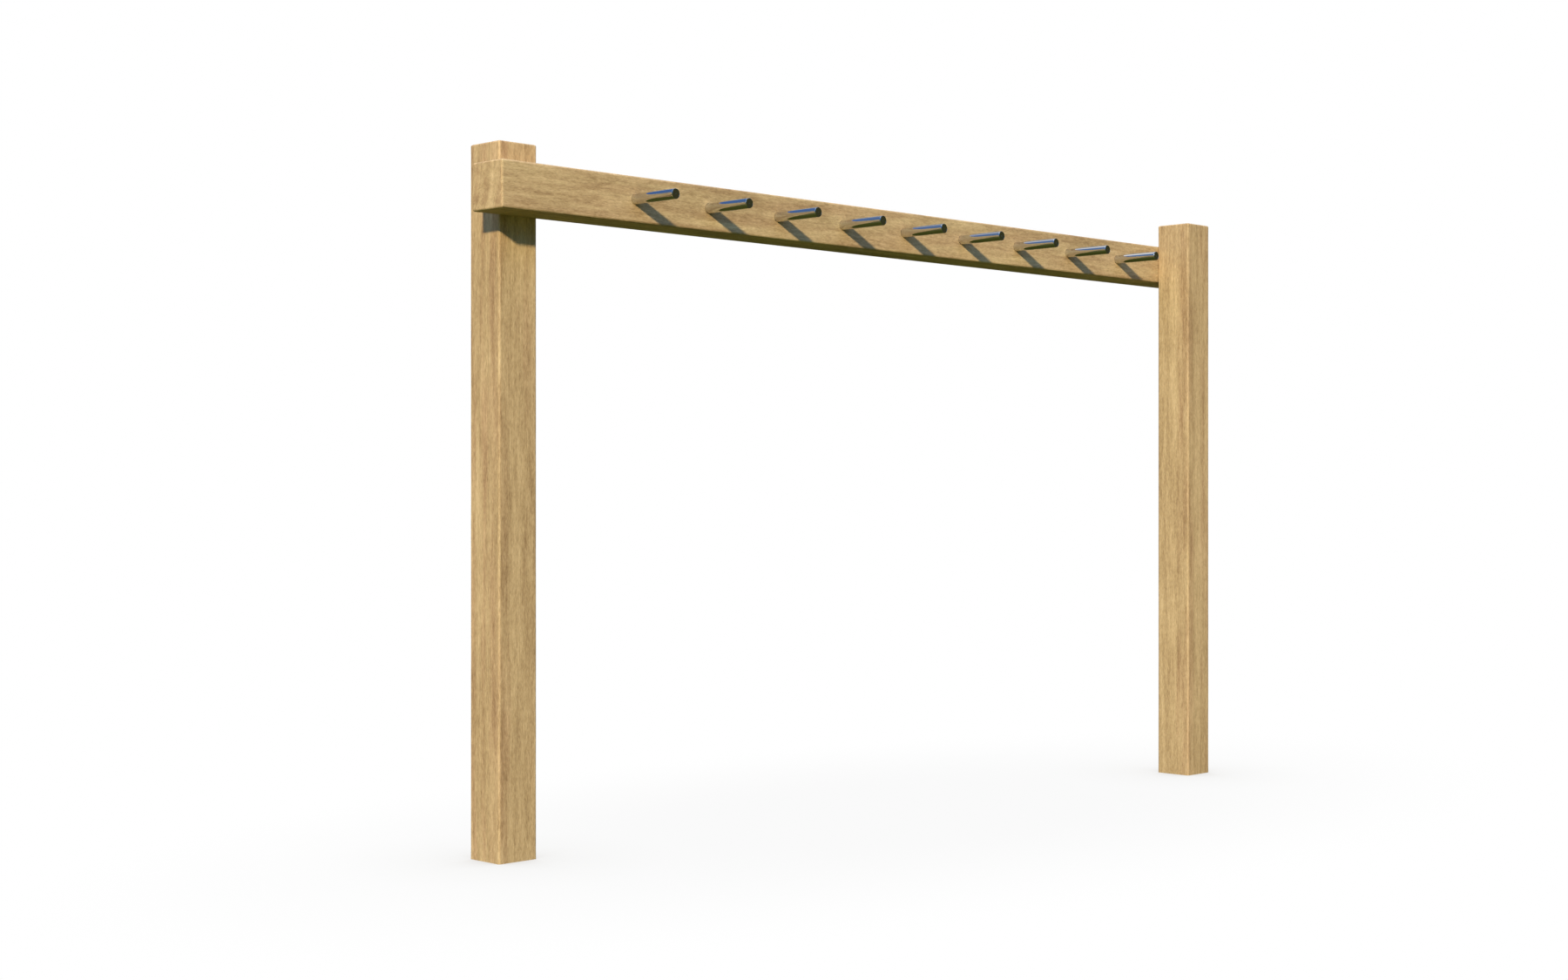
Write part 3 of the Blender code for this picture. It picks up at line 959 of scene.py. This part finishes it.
def set_world():
    """White to the camera. On the object it sheds a sky over dull ground, both brighter on the key's side.

    The sky is hazy low down on the far side, and a dark screen stands low in front of the pegs' tips.
    """
    world = bpy.data.worlds.new("studio")
    bpy.context.scene.world = world
    g = Graph(world)
    towards = g.node("TexCoord").outputs["Generated"]
    height = g.parts(towards)[2]
    flat = g.vector("NORMALIZE", g.vector("MULTIPLY", towards, (1, 1, 0)))
    near = g.math("MULTIPLY_ADD", g.vector("DOT_PRODUCT", flat, (*BRIGHT_SIDE, 0)), 0.5, 0.5)
    near = g.math("POWER", near, 4.0)
    hazy = g.step(g.vector("DOT_PRODUCT", flat, (*HAZY_SIDE, 0)), 0.84, 0.97)
    hazy = g.math("MULTIPLY", hazy, g.step(height, 0.12, 0.25))
    above = g.mix(hazy, g.ramp(height, *SKY), HAZE)
    above = g.mix(near, above, g.ramp(height, *BRIGHT_SKY))
    depth = g.math("MULTIPLY", height, -1)
    below = g.mix(near, g.ramp(depth, *GROUND), g.ramp(depth, *BRIGHT_GROUND))
    shed = g.mix(g.step(height, -0.01, 0.01), below, above)
    screen = g.step(g.vector("DOT_PRODUCT", flat, (*SCREEN_SIDE, 0)), 0.35, 0.75)
    off_middle = g.math("ABSOLUTE", g.math("SUBTRACT", height, 0.05))
    screen = g.math("MULTIPLY", screen, g.step(off_middle, 0.38, 0.22))
    shed = g.mix(g.math("MULTIPLY", screen, 0.97), shed, SCREEN)
    seen = g.node("LightPath").outputs["Is Camera Ray"]
    colour = g.mix(seen, shed, (1.0, 1.0, 1.0))
    background = g.node("Background")
    g.feed(background.inputs["Color"], colour)
    output = g.node("OutputWorld")
    g.feed(output.inputs["Surface"], background.outputs[0])


def sun(name, direction, strength, colour, degrees):
    """A distant light that travels that way."""
    data = bpy.data.lights.new(name, "SUN")
    data.energy = strength
    data.color = colour
    data.angle = math.radians(degrees)
    lamp = put(name, data)
    lamp.rotation_mode = "QUATERNION"
    lamp.rotation_quaternion = Vector(direction).to_track_quat("-Z", "Y")
    return lamp


def pale_floor():
    """A pale floor with a painted broad shadow that turns white past an ellipse round the object, and a faint
    painted contact shadow.
    """
    made = bpy.data.materials.new("pale_floor")
    g = Graph(made)
    # Painted broad shadow: the floor is a little darker inside an ellipse round the object.
    reach = g.vector("MULTIPLY", g.node("TexCoord").outputs["Object"], (1 / 3.5, 1 / 1.8, 0))
    out_of_painted_shadow = g.step(g.vector("LENGTH", reach), 0.25, 1.0)
    tone = g.mix(out_of_painted_shadow, (0.955, 0.955, 0.955), (1.0, 1.0, 1.0))
    # Painted contact shadow from ambient occlusion, warmer where it is deepest, as if lit by bounce from the
    # wood.
    occlusion = g.node("AmbientOcclusion", samples=8)
    occlusion.inputs["Distance"].default_value = 0.5
    shade = g.ramp(
        occlusion.outputs["AO"],
        (0.35, (0.780, 0.745, 0.710)),
        (0.80, (0.955, 0.953, 0.946)),
        (1.00, (1.0, 1.0, 1.0)),
    )
    emission = g.node("Emission")
    g.feed(emission.inputs["Color"], g.mix(1.0, tone, shade, "MULTIPLY"))
    output = g.node("OutputMaterial")
    g.feed(output.inputs["Surface"], emission.outputs[0])
    return made


def set_stage():
    """The floor, which only the camera sees, and the lights, which only the object receives."""
    set_world()
    bm = bmesh.new()
    bmesh.ops.create_grid(bm, x_segments=8, y_segments=8, size=FLOOR_REACH)
    floor = put("floor", finished_mesh(bm, "floor"), (0, 0, CAD_BOX[0][2] - 0.0005))
    floor.data.materials.append(pale_floor())
    floor.visible_diffuse = False
    floor.visible_glossy = False
    floor.visible_shadow = False
    sun("key", KEY_DIRECTION, 4.05, (1.0, 0.865, 0.525), 3.2)
    fill = sun("fill", FILL_DIRECTION, 1.8, (1.0, 0.93, 0.80), 60)
    overhead = sun("overhead", OVERHEAD_DIRECTION, 1.7, (1.0, 0.90, 0.72), 15)
    for lamp in (fill, overhead):
        lamp.visible_glossy = False


def set_camera():
    data = bpy.data.cameras.new("camera")
    data.lens = FOCAL_LENGTH
    data.sensor_width = SENSOR_WIDTH
    data.clip_end = FARTHEST_SEEN
    camera = put("camera", data, CAMERA_PLACE, CAMERA_TURN)
    bpy.context.scene.camera = camera
    bpy.context.scene.view_settings.view_transform = "Standard"


PEGS = peg_stations()
JOINTS = joint_stations()
make_timbers(PEGS, JOINTS)
make_fixings(PEGS, JOINTS)
set_stage()
set_camera()
